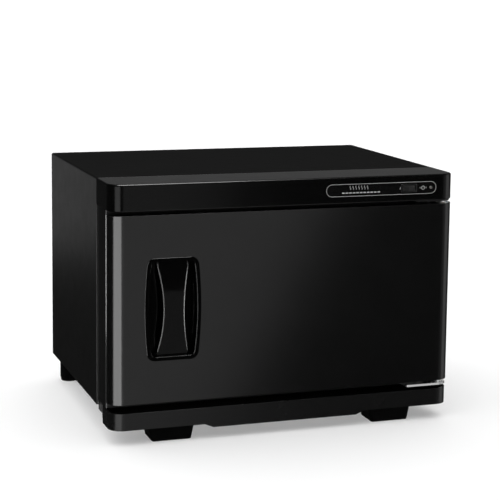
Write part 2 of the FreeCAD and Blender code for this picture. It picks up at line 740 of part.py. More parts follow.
def make_insulation_and_heater():
    body = new_body("tank_insulation")
    gap = 0.5
    inner_half = d.tank_half + d.tank_gauge + gap
    inner_low = d.tank_floor - d.tank_gauge - 2.0
    inner_high = d.tank_ceiling + d.tank_gauge + gap
    inner_back = d.tank_back + d.tank_gauge + gap
    thick = d.blanket
    outer = rectangle(-(inner_half + thick), inner_half + thick, inner_low - thick, inner_high + thick)
    pad(body, "XZ_Plane", [outer], flange_back_y + 0.8, inner_back + thick)
    cavity = rectangle(-inner_half, inner_half, inner_low, inner_high)
    pocket(body, "XZ_Plane", [cavity], flange_back_y - 1.0, inner_back)
    wells = [circle(x, 90.0, 12.0) for x in (-60.0, 60.0)]
    pocket(body, "XZ_Plane", wells, inner_back - 0.2, inner_back + thick + 1.0)

    pad_top = d.tank_floor - d.tank_gauge - 0.1
    keep(block(-110.0, 110.0, -70.0, 70.0, pad_top - 1.6, pad_top), "heating_pad")

    wall_y = d.tank_back + d.tank_gauge + 0.1
    can = rod("y", (60.0, 90.0), 8.0, wall_y, wall_y + 7.0)
    neck = rod("y", (60.0, 90.0), 5.0, wall_y + 7.0, wall_y + 10.0)
    blades = [block(60.0 + x - 0.4, 60.0 + x + 0.4, wall_y + 9.0, wall_y + 17.0, 88.0, 92.0)
              for x in (-3.0, 3.0)]
    keep(fuse(can, neck, *blades), "thermostat")

    strap = block(-68.0, -52.0, wall_y, wall_y + 1.0, 86.0, 94.0)
    capsule = rod("x", (wall_y + 3.0, 90.0), 2.2, -66.0, -54.0)
    keep(fuse(strap, capsule), "thermal_cutout")


def make_shelf():
    half = d.tank_half
    rail_top = d.shelf_level - d.shelf_wire - 0.05
    for side in (-1, 1):
        rail = new_body(mirrored_name("shelf_rail", side))
        wall = side * (half - 0.1)
        inner = side * (half - 1.1)
        edge = side * (half - 9.0)
        angle = polygon((wall, rail_top - 12.0), (wall, rail_top), (edge, rail_top),
                        (edge, rail_top - 1.0), (inner, rail_top - 1.0), (inner, rail_top - 12.0))
        pad(rail, "XZ_Plane", [angle], -90.0, 82.0)

    body = new_body("wire_shelf")
    span = half - 3.6
    front_wire = -88.0
    back_wire = 80.0
    corner = as_size(9.0)
    spine = new_sketch(body, "XY_Plane", d.shelf_level)
    rounded_rectangle(-span, span, front_wire, back_wire, corner, corner, split_at=0.0)(spine)
    section = new_sketch(body, "YZ_Plane", 0.0)
    circle(front_wire, d.shelf_level, d.shelf_wire)(section)
    doc.recompute()
    rim = body.newObject("PartDesign::AdditivePipe", "Rim")
    rim.Profile = section
    rim.Spine = (spine, [f"Edge{number}" for number in range(1, len(spine.Shape.Edges) + 1)])
    doc.recompute()
    cross_level = d.shelf_level + d.shelf_wire + d.cross_wire - 0.4
    wires = [circle(d.wire_pitch * number, cross_level, d.cross_wire) for number in range(-7, 8)]
    pad(body, "XZ_Plane", wires, front_wire - 1.0, back_wire + 1.0)
    stay = circle(0.0, d.shelf_level, d.shelf_wire)
    pad(body, "YZ_Plane", [stay], -span, span)


# ---------------------------------------------------------------- electrical fittings
def make_electrics():
    gland_at = (d.gland_place, d.gland_level)
    flange = rod("y", gland_at, d.gland_bore + 6.9, panel_back_y, panel_back_y + 2.4)
    nose = taper("y", gland_at, d.gland_bore + 4.8, d.gland_bore + 3.4, panel_back_y + 2.4,
                 back_y + d.gland_proud)
    barrel_part = rod("y", gland_at, d.gland_bore + 3.9, panel_front_y - 7.0, panel_back_y)
    nut = rod("y", gland_at, d.gland_bore + 6.4, panel_front_y - 4.0, panel_front_y)
    bore = rod("y", gland_at, d.gland_bore, panel_front_y - 8.0, back_y + d.gland_proud + 1.0)
    keep(cut(fuse(flange, nose, barrel_part, nut), bore), "cord_gland")

    base = block(-60.0, -26.0, 110.6, 127.5, base_over, base_over + 13.0)
    wells = [rod("z", (-54.3 + 11.3 * number, 119.0), 2.4, base_over + 6.0, base_over + 14.0)
             for number in range(3)]
    keep(cut(base, fuse(*wells)), "terminal_block")

    stud = rod("z", (-90.0, 119.0), d.bolt_radius, base_over, base_over + 14.0)
    nut = doc.addObject("Part::Prism", "Nut")
    nut.Polygon = 6
    bind(nut, "Circumradius", d.bolt_radius * 2)
    bind(nut, "Height", d.bolt_radius * 1.6)
    bind(nut, "Placement.Base.x", -90.0)
    bind(nut, "Placement.Base.y", 119.0)
    bind(nut, "Placement.Base.z", base_over)
    keep(fuse(stud, nut), "earth_stud")

    lead_start = base_over + 13.2
    leads = []
    for number, (x_start, level) in enumerate(((-43.0, label_level), (-31.7, label_level - 3.2))):
        x_end = d.switch_place - 4.0 + 8.0 * number
        route = [(x_start, 119.0, lead_start), (x_start, 119.0, level),
                 (x_end, 119.0, level), (x_end, front_y + 20.2, level)]
        leads.append(lead(route))
    bundle = doc.addObject("Part::Feature", "internal_leads")
    bundle.Shape = Part.makeCompound(leads)
    bundle.Placement = Placement()
    keep(bundle, "internal_leads")


def lead(route):
    """Solid lead of straight runs joined by tangent arcs."""
    points = [Vector(*[as_size(number).value for number in point]) for point in route]
    bend = d.lead_bend.value
    edges = []
    start = points[0]
    for before, corner, after in zip(points, points[1:], points[2:]):
        into = (corner - before).normalize()
        out = (after - corner).normalize()
        arc_start = corner - into * bend
        arc_end = corner + out * bend
        centre = corner - into * bend + out * bend
        middle = centre + (corner - centre).normalize() * bend
        edges.append(Part.LineSegment(start, arc_start).toShape())
        edges.append(Part.Arc(arc_start, middle, arc_end).toShape())
        start = arc_end
    edges.append(Part.LineSegment(start, points[-1]).toShape())
    path = Part.Wire(edges)
    first_run = (points[1] - points[0]).normalize()
    section = Part.Wire([Part.makeCircle(d.lead_radius.value, points[0], first_run)])
    return path.makePipeShell([section], True, True)


# ---------------------------------------------------------------- hinge
lower_hinge_screws = (133.5, 147.5)
upper_hinge_screws = (140.0, 150.5)
hinge_screw_level = d.door_base + 2.8
lower_plate_top = d.door_base - 3.0
lower_plate_base = lower_plate_top - d.plate_gauge
upper_plate_top = d.head_base - 0.1
upper_plate_base = upper_plate_top - 1.7
bush_outer = d.pin_radius + 2.0
bush_flange = 1.0
plate_round = d.front_round - 3.0


def make_hinges():
    left = 127.0
    right = d.half_width - 1.5
    lower = new_body("hinge_bracket_bottom")
    pad(lower, "XY_Plane", [rectangle(left, right, front_y + 1.0, frame_front_y - 0.1)],
        lower_plate_base, lower_plate_top)
    fillet(lower, plate_round, upright_at((right, front_y + 1.0)))
    fillet(lower, 3.0, upright_at((left, front_y + 1.0)))
    pad(lower, "XZ_Plane", [rectangle(left, 154.0, lower_plate_base, d.door_base + 7.0)],
        frame_front_y - 1.9, frame_front_y - 0.1)
    pin_hole = circle(pin_x, pin_y, d.pin_radius)
    pocket(lower, "XY_Plane", [pin_hole], lower_plate_base - 1.0, lower_plate_top + 1.0)
    holes = [circle(x, hinge_screw_level, d.screw_radius + d.hole_play) for x in lower_hinge_screws]
    pocket(lower, "XZ_Plane", holes, frame_front_y - 3.0, frame_front_y + 1.0)

    upper = new_body("hinge_bracket_top")
    pad(upper, "XY_Plane", [rectangle(134.0, right, front_y + 2.5, frame_front_y - 0.6)],
        upper_plate_base, upper_plate_top)
    fillet(upper, plate_round, upright_at((right, front_y + 2.5)))
    holes = [circle(x, pin_y, d.screw_radius + d.hole_play) for x in upper_hinge_screws]
    pin_hole = circle(pin_x, pin_y, d.pin_radius)
    pocket(upper, "XY_Plane", holes + [pin_hole], upper_plate_base - 1.0, upper_plate_top + 1.0)

    at = (pin_x, pin_y)
    shoulder_top = d.door_base - bush_flange - 0.1
    shank = rod("z", at, d.pin_radius, lower_plate_base - 1.2, d.door_base + d.pin_reach)
    shoulder = rod("z", at, d.washer_radius, lower_plate_top, shoulder_top)
    rivet = taper("z", at, d.pin_radius + 0.6, d.pin_radius + 1.4, lower_plate_base - 1.2, lower_plate_base)
    keep(fuse(shank, shoulder, rivet), "hinge_pin_bottom")

    shoulder_low = d.door_top + bush_flange + 0.1
    shank = rod("z", at, d.pin_radius, d.door_top - d.pin_reach, upper_plate_top + 1.2)
    shoulder = rod("z", at, d.washer_radius, shoulder_low, upper_plate_base)
    keep(fuse(shank, shoulder), "hinge_pin_top")

    bore = d.pin_radius + d.pin_play
    for name, end, away in (("bottom", d.door_base, -1), ("top", d.door_top, 1)):
        inner_end = end - d.cap_height * away
        flange_end = end + bush_flange * away
        low, high = (inner_end, end) if away > 0 else (end, inner_end)
        flange_low, flange_high = (end, flange_end) if away > 0 else (flange_end, end)
        sleeve = rod("z", at, bush_outer, low, high)
        flange = rod("z", at, bush_outer + 1.2, flange_low, flange_high)
        hole = rod("z", at, bore, as_size(flange_low) - 20.0, as_size(flange_high) + 20.0)
        keep(cut(fuse(sleeve, flange), hole), f"hinge_bush_{name}")


# ---------------------------------------------------------------- door
def handle_corners(half_end, half_height):
    """Pick the four corner edges of a barrel outline drawn about the handle's middle."""
    return crossing_at(*[(d.handle_place + side * half_end, handle_level + end * half_height)
                         for side in (-1, 1) for end in (-1, 1)])


def make_door_skin():
    body = new_body("door_skin")
    wide = d.half_width
    gauge = d.sheet_gauge
    pad(body, "XY_Plane", [rectangle(-wide, wide, front_y, door_back_y)], d.door_base, d.door_top)
    fillet(body, d.front_round, upright_at((-wide, front_y), (wide, front_y)))
    fillet(body, d.rear_round, upright_at((-wide, door_back_y), (wide, door_back_y)))
    inside = wide - gauge
    hollow = rounded_rectangle(-inside, inside, front_y + gauge, door_back_y - gauge,
                               d.front_round - gauge, d.rear_round - gauge)
    pocket(body, "XY_Plane", [hollow], d.door_base - 1.0, d.door_top + 1.0)
    lip = wide - d.lip_width
    pocket(body, "XY_Plane", [rectangle(-lip, lip, door_back_y - gauge * 2, door_back_y + 1.0)],
           d.door_base - 1.0, d.door_top + 1.0)
    inset = d.handle_rim - 0.2
    cut_out = barrel(d.handle_place, handle_level, d.handle_half_height - inset,
                     d.handle_half_middle - inset, d.handle_half_end - inset)
    pocket(body, "XZ_Plane", [cut_out], front_y - 1.0, front_y + gauge + 1.0)
    fillet(body, d.handle_round - d.handle_rim,
           handle_corners(d.handle_half_end - inset, d.handle_half_height - inset))


def make_door_caps():
    gap = 0.1
    half = d.half_width - d.sheet_gauge - gap
    low_y = front_y + d.sheet_gauge + gap
    high_y = door_back_y - d.liner_gauge - gap
    for name, end, away in (("bottom", d.door_base, -1), ("top", d.door_top, 1)):
        body = new_body(f"door_cap_{name}")
        inner_end = end - d.cap_height * away
        low, high = (inner_end, end) if away > 0 else (end, inner_end)
        pad(body, "XY_Plane", [rectangle(-half, half, low_y, high_y)], low, high)
        fillet(body, d.front_round - d.sheet_gauge - gap, upright_at((-half, low_y), (half, low_y)))
        fillet(body, d.rear_round - d.sheet_gauge - gap, upright_at((-half, high_y), (half, high_y)))
        wall = d.cap_wall
        roof = end - wall * away
        well_low, well_high = (inner_end - 1.0, roof) if away > 0 else (roof, inner_end + 1.0)
        left_well = rectangle(-(half - 9.0), pin_x - 22.0, low_y + wall, high_y - wall)
        pocket(body, "XY_Plane", [left_well], well_low, well_high)
        hole = circle(pin_x, pin_y, bush_outer + 0.02)
        pocket(body, "XY_Plane", [hole], as_size(low) - 1.0, as_size(high) + 1.0)


def make_door_liner():
    body = new_body("door_liner")
    half = d.half_width - d.lip_width - 0.4
    low = d.door_base + 3.0
    high = d.door_top - 3.0
    front = door_back_y - d.liner_gauge
    pan_half = d.tank_half - 5.0
    pan_low = d.tank_floor + 5.0
    pan_high = d.tank_ceiling - 5.0
    gauge = d.liner_gauge
    pad(body, "XZ_Plane", [rectangle(-half, half, low, high)], front, door_back_y)
    pan_back = door_back_y + d.liner_rise
    pad(body, "XZ_Plane", [rectangle(-pan_half, pan_half, pan_low, pan_high)], front, pan_back)
    hollow = rectangle(-(pan_half - gauge), pan_half - gauge, pan_low + gauge, pan_high - gauge)
    pocket(body, "XZ_Plane", [hollow], front - 1.0, pan_back - gauge)
    corners = [(side * pan_half, level) for side in (-1, 1) for level in (pan_low, pan_high)]
    fillet(body, 6.0, crossing_at(*corners))
    fillet(body, 1.5, in_plane("Y", pan_back))


def make_door_filling():
    body = new_body("door_insulation")
    half = d.half_width - 14.0
    low = d.door_base + d.cap_height + 1.0
    high = d.door_top - d.cap_height - 1.0
    back = door_back_y - d.liner_gauge - 0.3
    pad(body, "XZ_Plane", [rectangle(-half, half, low, high)], front_y + d.sheet_gauge + 0.3, back)
    side_room = d.handle_half_middle + 4.0
    end_room = d.handle_half_height + 4.0
    room = rectangle(d.handle_place - side_room, d.handle_place + side_room,
                     handle_level - end_room, handle_level + end_room)
    pocket(body, "XZ_Plane", [room], front_y - 1.0, back + 1.0)

    gasket = new_body("door_gasket")
    inner_half = d.tank_half + 3.0
    inner_low = d.tank_floor - 3.0
    inner_high = d.tank_ceiling + 3.0
    wide = d.seal_width
    ring = rectangle(-(inner_half + wide), inner_half + wide, inner_low - wide, inner_high + wide)
    pad(gasket, "XZ_Plane", [ring], door_back_y, frame_front_y - 0.2)
    window = rectangle(-inner_half, inner_half, inner_low, inner_high)
    pocket(gasket, "XZ_Plane", [window], door_back_y - 1.0, frame_front_y + 1.0)
    outer_corners = [(side * (inner_half + wide), level) for side in (-1, 1)
                     for level in (inner_low - wide, inner_high + wide)]
    fillet(gasket, wide, crossing_at(*outer_corners))
    fillet(gasket, 1.4, in_plane("Y", frame_front_y - 0.2))


def make_catch():
    left = -(d.half_width - 11.0)
    keep(block(left, left + 8.0, door_back_y, frame_front_y - 0.9, 110.0, 146.0), "door_magnet")
    keep(block(left - 2.0, left + 9.0, frame_front_y - 0.8, frame_front_y, 106.0, 150.0), "strike_plate")


def make_handle():
    cup = new_body("handle_cup")
    at = (d.handle_place, handle_level)
    rim_y = front_y - d.rim_proud
    floor_y = front_y + d.cup_depth
    outer = (d.handle_half_height, d.handle_half_middle, d.handle_half_end)
    pad(cup, "XZ_Plane", [barrel(*at, *outer)], rim_y, front_y)
    fillet(cup, d.handle_round, handle_corners(d.handle_half_end, d.handle_half_height))
    shell = [size - d.handle_rim for size in outer]
    pad(cup, "XZ_Plane", [barrel(*at, *shell)], front_y - 0.2, floor_y)
    fillet(cup, d.handle_round - d.handle_rim, handle_corners(shell[2], shell[0]))
    inside = [size - d.cup_wall for size in shell]
    pocket(cup, "XZ_Plane", [barrel(*at, *inside)], rim_y - 1.0, floor_y - d.cup_wall)
    fillet(cup, 4.5, handle_corners(inside[2], inside[0]))
    fillet(cup, 0.5, in_plane("Y", rim_y))
    screw_reach = inside[0] - 5.0
    screw_holes = [circle(d.handle_place, handle_level + end * screw_reach, d.screw_radius + d.hole_play)
                   for end in (-1, 1)]
    pocket(cup, "XZ_Plane", screw_holes, floor_y - d.cup_wall - 1.0, floor_y + 1.0)

    grip = new_body("handle_grip")
    top = inside[0] - 0.2
    seat_y = floor_y - d.cup_wall - 0.05
    end_y = front_y - d.grip_end_proud
    middle_y = front_y - d.grip_proud
    inner_y = middle_y + d.grip_thick
    # Side view: a bowed front and a straight back that is open to the fingers between two pads.
    side_view = bow_outline(top, seat_y, end_y, middle_y, inner_y)
    pad(grip, "YZ_Plane", [side_view], d.handle_place - d.grip_half_end, d.handle_place + d.grip_half_end)
    for side in (-1, 1):
        edge_x = d.handle_place + side * (d.grip_half_end + 6.0)
        pocket(grip, "XZ_Plane", [waist_outline(side, edge_x, top)], middle_y - 1.0, seat_y + 1.0)
    for end in (-1, 1):
        pocket(grip, "XZ_Plane", [circle(d.handle_place, handle_level + end * screw_reach, d.screw_radius)],
               seat_y - 7.0, seat_y + 1.0)

    screws = [screw("y", (d.handle_place, handle_level + end * screw_reach), floor_y, 1,
                    d.screw_radius, d.screw_head * 0.8, d.cup_wall + 6.0) for end in (-1, 1)]
    screw_set("handle_screws", screws)


def bow_outline(top, seat_y, end_y, middle_y, inner_y):
    def draw(sketch):
        high = handle_level + top
        low = handle_level - top
        pad_run = as_size(9.0)
        ramp = as_size(6.0)
        stations = [
            (end_y, high), (seat_y, high), (seat_y, high - pad_run), (inner_y, high - pad_run - ramp),
            (inner_y, low + pad_run + ramp), (seat_y, low + pad_run), (seat_y, low), (end_y, low),
        ]
        points = [Vector(as_size(y).value, as_size(z).value, 0) for y, z in stations]
        first = sketch.GeometryCount
        for start, end in zip(points, points[1:]):
            sketch.addGeometry(Part.LineSegment(start, end), False)
        crown = Vector(as_size(middle_y).value, handle_level.value, 0)
        bow = sketch.addGeometry(Part.Arc(points[-1], crown, points[0]), False)
        for number in range(len(points) - 2):
            sketch.addConstraint(Sketcher.Constraint("Coincident", first + number, 2, first + number + 1, 1))
        last_line = first + len(points) - 2
        sketch.addConstraint(
            Sketcher.Constraint("Coincident", last_line, 2, bow, curve_end_at(sketch, bow, points[-1])))
        sketch.addConstraint(
            Sketcher.Constraint("Coincident", first, 1, bow, curve_end_at(sketch, bow, points[0])))
        for number, (y, z) in enumerate(stations[:-1]):
            pin_point(sketch, first + number, 1, y, z)
        pin_point(sketch, last_line, 2, *stations[-1])
        rise = as_size(end_y) - middle_y
        set_radius(sketch, bow, (top * top + rise * rise) / (rise * 2))
    return draw


def waist_outline(side, edge_x, top):
    """Segment that hollows one side of the grip: an arc from end to end, closed outside the grip."""
    def draw(sketch):
        end_x = d.handle_place + side * d.grip_half_end
        waist_x = d.handle_place + side * d.grip_half_waist
        reach = top - 5.0
        high = handle_level + reach
        low = handle_level - reach
        stations = [(end_x, low), (edge_x, low), (edge_x, high), (end_x, high)]
        points = [Vector(as_size(x).value, as_size(z).value, 0) for x, z in stations]
        first = sketch.GeometryCount
        for start, end in zip(points, points[1:]):
            sketch.addGeometry(Part.LineSegment(start, end), False)
        waist_point = Vector(waist_x.value, handle_level.value, 0)
        waist = sketch.addGeometry(Part.Arc(points[3], waist_point, points[0]), False)
        for number in range(2):
            sketch.addConstraint(Sketcher.Constraint("Coincident", first + number, 2, first + number + 1, 1))
        sketch.addConstraint(
            Sketcher.Constraint("Coincident", first + 2, 2, waist, curve_end_at(sketch, waist, points[3])))
        sketch.addConstraint(
            Sketcher.Constraint("Coincident", first, 1, waist, curve_end_at(sketch, waist, points[0])))
        for number, (x, z) in enumerate(stations[:-1]):
            pin_point(sketch, first + number, 1, x, z)
        pin_point(sketch, first + 2, 2, *stations[-1])
        sag = d.grip_half_end - d.grip_half_waist
        set_radius(sketch, waist, (reach * reach + sag * sag) / (sag * 2))
    return draw


# ---------------------------------------------------------------- drip tray
def make_drip_tray():
    body = new_body("drip_tray")
    half = d.tray_half
    wall = d.tray_wall
    pad(body, "XY_Plane", [rectangle(-half, half, front_y, tray_back_y)], d.tray_base, d.tray_top)
    fillet(body, d.front_round, upright_at((-half, front_y), (half, front_y)))
    lip_end = d.lip_half + d.lip_slope
    lip_root = d.tray_base + 1.0
    lip = polygon((-d.lip_half, d.tray_lip), (d.lip_half, d.tray_lip), (lip_end, d.tray_base),
                  (lip_end, lip_root), (-lip_end, lip_root), (-lip_end, d.tray_base))
    pad(body, "XZ_Plane", [lip], front_y, front_y + wall)
    # The sides step in at the back, to pass between the guides.
    rear_half = d.tray_rear_half
    step_y = tray_back_y - d.guide_reach - 2.0
    notches = [rectangle(side * rear_half, side * (half + 1.0), step_y, tray_back_y + 1.0)
               for side in (-1, 1)]
    pocket(body, "XY_Plane", notches, d.tray_base - 1.0, d.tray_top + 1.0)
    front_basin = rounded_rectangle(-(half - wall), half - wall, front_y + wall, step_y - wall,
                                    d.front_round - wall)
    pocket(body, "XY_Plane", [front_basin], d.tray_base + wall, d.tray_top + 1.0)
    rear_basin = rectangle(-(rear_half - wall), rear_half - wall, step_y - wall - 1.0, tray_back_y - wall)
    pocket(body, "XY_Plane", [rear_basin], d.tray_base + wall, d.tray_top + 1.0)


def make_tray_guides():
    for side in (-1, 1):
        guide = new_body(mirrored_name("tray_guide", side))
        outer = side * (d.half_width - 1.5)
        inner = side * (d.tray_rear_half + d.guide_play)
        hook = side * (d.tray_rear_half - 10.0)
        top = d.frame_base
        hook_under = top - 0.8
        profile = polygon((outer, top), (outer, top - 9.0), (inner, top - 9.0),
                          (inner, hook_under), (hook, hook_under), (hook, top))
        pad(guide, "XZ_Plane", [profile], tray_back_y - d.guide_reach, front_parts_back_y - 1.0)


# ---------------------------------------------------------------- feet
def make_front_feet():
    foot_front = front_y + d.front_foot_setback
    foot_back = foot_front + d.front_foot_depth
    foot_middle_y = foot_front + d.front_foot_depth / 2
    half_high = d.front_foot_width / 2
    half_low = half_high - d.front_foot_slant
    seat = d.front_foot_seat
    riser = seam_y + 4.0
    bolts = []

    def corner_edge(edge):
        box = edge.BoundBox
        return box.YLength < 1e-3 and box.ZLength > foot_top.value * 0.9

    for side in (-1, 1):
        middle = side * d.front_foot_place
        foot = new_body(mirrored_name("front_foot", side))
        front_view = polygon((middle - half_low, 0.0), (middle + half_low, 0.0),
                             (middle + half_high, foot_top), (middle - half_high, foot_top))
        pad(foot, "XZ_Plane", [front_view], foot_front, foot_back)
        fillet(foot, d.front_foot_round, corner_edge)
        fillet(foot, 1.5, in_plane("Z", 0.0))
        well = circle(middle, foot_middle_y, d.bolt_head + 1.2)
        pocket(foot, "XY_Plane", [well], -1.0, seat)
        shank_hole = circle(middle, foot_middle_y, d.bolt_radius + d.hole_play)
        pocket(foot, "XY_Plane", [shank_hole], seat - 0.5, foot_top + 1.0)

        bracket = new_body(mirrored_name("foot_bracket", side))
        strip = d.bracket_gauge
        z_low = bracket_top - strip
        z_high = base_under
        strip_front = foot_front + 1.5
        strip_back = -44.0
        side_view = polygon((strip_front, z_low), (riser + strip, z_low), (riser + strip, z_high - strip),
                            (strip_back, z_high - strip), (strip_back, z_high), (riser, z_high),
                            (riser, bracket_top), (strip_front, bracket_top))
        pad(bracket, "YZ_Plane", [side_view], middle - 17.0, middle + 17.0)
        foot_bolt_hole = circle(middle, foot_middle_y, d.bolt_radius)
        pocket(bracket, "XY_Plane", [foot_bolt_hole], z_low - 1.0, bracket_top + 1.0)
        base_bolt_holes = [circle(middle, y, d.bolt_radius + d.hole_play) for y in bracket_bolt_y]
        pocket(bracket, "XY_Plane", base_bolt_holes, z_high - strip - 1.0, z_high + 1.0)
        bolts.append(screw("z", (middle, foot_middle_y), seat, -1, d.bolt_radius, d.bolt_head,
                           bracket_top - seat))
    screw_set("front_foot_screws", bolts)
    bracket_bolts = [screw("z", (side * d.front_foot_place, y), base_under - d.bracket_gauge, -1,
                           d.bolt_radius, d.bolt_head, as_size(7.0))
                     for side in (-1, 1) for y in bracket_bolt_y]
    screw_set("bracket_screws", bracket_bolts)


def make_rear_feet():
    bolts = []
    for side in (-1, 1):
        at = (side * d.rear_foot_place, rear_foot_y)
        post = rod("z", at, d.rear_foot_radius, 4.0, d.casing_base)
        shoe = taper("z", at, d.rear_foot_radius - 1.0, d.rear_foot_radius, 0.0, 4.0)
        boss = rod("z", at, 5.0, d.casing_base, base_under)
        shaft = rod("z", at, d.bolt_radius + d.hole_play, -1.0, base_under + 1.0)
        well = rod("z", at, d.bolt_head + 1.2, -1.0, 16.0)
        keep(cut(fuse(post, shoe, boss), fuse(shaft, well)), mirrored_name("rear_foot", side))
        bolts.append(screw("z", at, as_size(16.0), -1, d.bolt_radius, d.bolt_head, as_size(18.0)))
    screw_set("rear_foot_screws", bolts)


# ---------------------------------------------------------------- screws of the casing and hinges
def make_screws():
    rear = [screw("y", (x, z), back_y, 1, d.screw_radius, d.screw_head, as_size(8.0))
            for x, z in rear_screw_spots]
    screw_set("rear_panel_screws", rear)
    hinge = [screw("y", (x, hinge_screw_level), frame_front_y - 1.9, -1, d.screw_radius,
                   d.screw_head * 0.6, as_size(8.0)) for x in lower_hinge_screws]
    hinge += [screw("z", (x, pin_y), upper_plate_base, -1, d.screw_radius,
                    d.screw_head * 0.6, as_size(8.0)) for x in upper_hinge_screws]
    screw_set("hinge_screws", hinge)


def check_document():
    doc.recompute()
    for item in doc.Objects:
        if "Invalid" in item.State or "Error" in item.State:
            raise RuntimeError(f"{item.Label} failed: {item.State}")
    for part in sub_parts:
        if part.Shape.isNull() or not part.Shape.isValid() or not part.Shape.Solids:
            raise RuntimeError(f"{part.Label} has no valid solid")


def write_parts():
    os.makedirs("parts", exist_ok=True)
    for part in sub_parts:
        part.Shape.exportStep(f"parts/{part.Label}.step")
        print(f"{part.Label}: {len(part.Shape.Solids)} solid(s), {part.Shape.Volume / 1000:.2f} cm3")


make_outer_casing()
make_rear_panel()
make_base_plate()
make_front_frame()
make_control_housing()
make_control_label()
make_switch()
make_indicator_lamp()
make_inner_tank()
make_insulation_and_heater()
make_shelf()
make_electrics()
make_hinges()
make_door_skin()
make_door_caps()
make_door_liner()
make_door_filling()
make_catch()
make_handle()
make_drip_tray()
make_tray_guides()
make_front_feet()
make_rear_feet()
make_screws()
check_document()
write_parts()
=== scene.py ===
import math

import bmesh
import bpy
from mathutils import Matrix, Vector


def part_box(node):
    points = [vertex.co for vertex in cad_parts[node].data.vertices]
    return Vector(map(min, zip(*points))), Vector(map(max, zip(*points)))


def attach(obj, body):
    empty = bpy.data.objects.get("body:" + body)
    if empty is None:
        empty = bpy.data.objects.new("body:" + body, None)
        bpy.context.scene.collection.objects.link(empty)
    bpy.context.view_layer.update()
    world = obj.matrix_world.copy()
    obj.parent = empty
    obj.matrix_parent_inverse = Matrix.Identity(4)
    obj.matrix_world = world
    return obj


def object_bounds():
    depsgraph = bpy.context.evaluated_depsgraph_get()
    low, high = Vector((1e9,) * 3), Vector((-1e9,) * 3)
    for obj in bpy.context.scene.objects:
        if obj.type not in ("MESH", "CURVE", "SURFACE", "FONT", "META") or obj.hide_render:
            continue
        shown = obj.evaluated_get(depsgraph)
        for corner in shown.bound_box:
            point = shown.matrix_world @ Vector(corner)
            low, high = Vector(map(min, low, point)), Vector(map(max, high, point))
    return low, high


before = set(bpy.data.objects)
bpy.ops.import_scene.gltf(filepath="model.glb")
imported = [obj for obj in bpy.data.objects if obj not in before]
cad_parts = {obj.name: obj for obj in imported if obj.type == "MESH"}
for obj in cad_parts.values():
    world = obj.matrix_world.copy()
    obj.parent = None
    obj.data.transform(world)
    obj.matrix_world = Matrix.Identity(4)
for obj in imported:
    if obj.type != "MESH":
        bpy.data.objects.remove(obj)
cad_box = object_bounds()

# Everything is in metres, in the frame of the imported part: +X is the hinge side, -Y the front, +Z up.
MM = 0.001
CABINET = "cabinet"
CENTRE = (cad_box[0] + cad_box[1]) / 2

INK_HEIGHT = 0.04 * MM

FLOOR_RADIUS = 6.0
SURROUND_RADIUS = 9.0
ROOM_LIGHT = 0.02

# The sky is a sun lamp so wide that it lights like an overcast sky. Angles are in degrees.
SKY_STRENGTH = 2.9
SKY_SPREAD = 120
SKY_TILT = (-8, -10, 0)
FLOOR_FILL = 0.38

# Yaw, pitch and roll are in degrees, lens and sensor in millimetres.
CAMERA_PLACE = Vector((-0.5003, -1.4820, 0.4392))
CAMERA_ANGLES = (-18.86, -7.43, 0.64)
CAMERA_LENS = 109.9
CAMERA_SENSOR = 36.0
CAMERA_SHIFT = -0.15

# CAD nodes that some of the lights are meant for, or must not reach.
HEAD = ("control_housing", "control_label", "switch_housing", "switch_rocker", "indicator_lamp")
FEET = ("front_foot_left", "front_foot_right", "rear_foot_left", "rear_foot_right")
CUP = ("handle_cup",)
GRIP = ("handle_grip",)
HANDLE = CUP + GRIP
TRAY = ("drip_tray",)
CASING = ("outer_casing",)
DOOR = ("door_skin",)
FRONT_FRAME = ("front_frame",)
BRIGHT_METAL = ("hinge_bracket_bottom", "hinge_pin_bottom", "hinge_pin_top", "strike_plate")


# ----------------------------------------------------------------------------------------------------
# Materials: each one has patterns in object space that vary its colour, its roughness or its surface.


